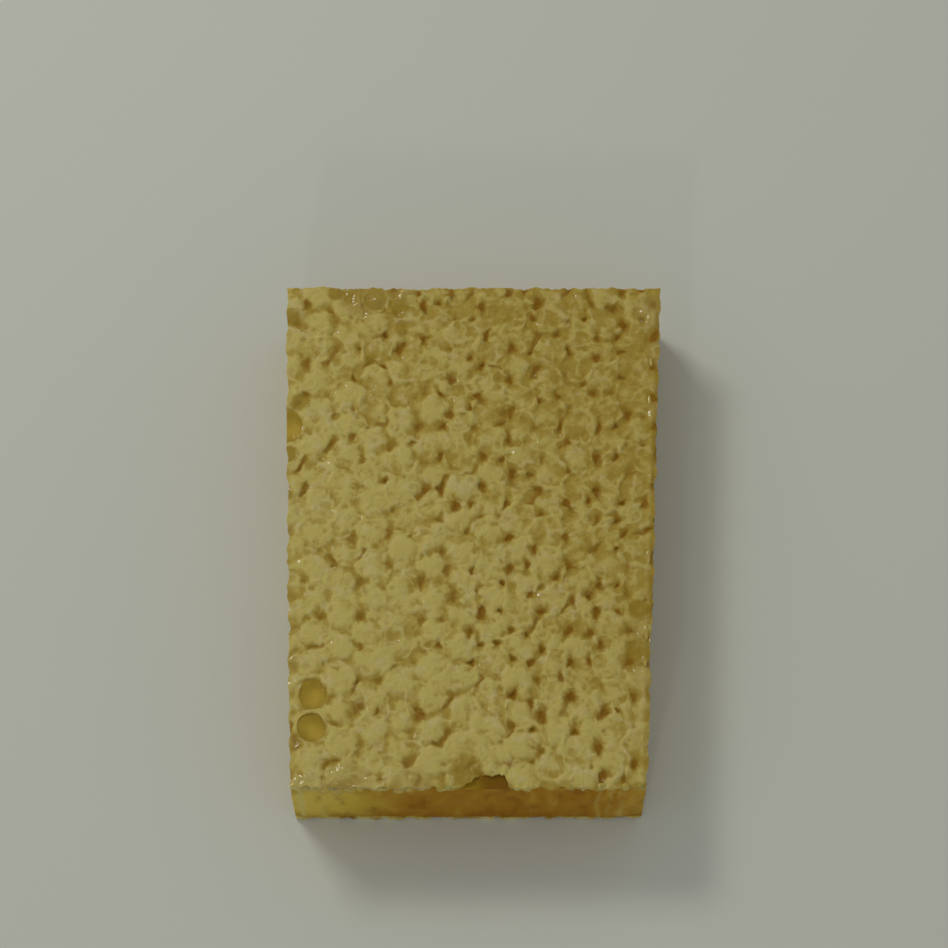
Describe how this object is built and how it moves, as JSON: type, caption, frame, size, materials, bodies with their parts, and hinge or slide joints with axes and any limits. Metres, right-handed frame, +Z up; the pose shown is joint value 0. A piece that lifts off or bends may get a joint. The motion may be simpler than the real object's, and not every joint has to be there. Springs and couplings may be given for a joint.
{
  "type": "honeycomb piece",
  "caption": "Flat slab of capped honeycomb, cut from a frame: amber honey in wax cells between pale, dimpled wax cappings, with ragged cut sides.",
  "frame": {"origin": "under the middle of the piece's box, on the surface that it rests on", "axes": "+X across the piece to the right, +Y along it away from the near cut, +Z up through its thickness"},
  "size_m": [0.0624, 0.0864, 0.018],
  "materials": {
    "wax": "soft pale yellow beeswax, waxy sheen, wet with honey in places",
    "honey": "clear amber honey, glossy and wet"
  },
  "bodies": {
    "root": {"lower_capping": "wax", "honey_comb": "honey", "upper_capping": "wax"}
  },
  "joints": []
}
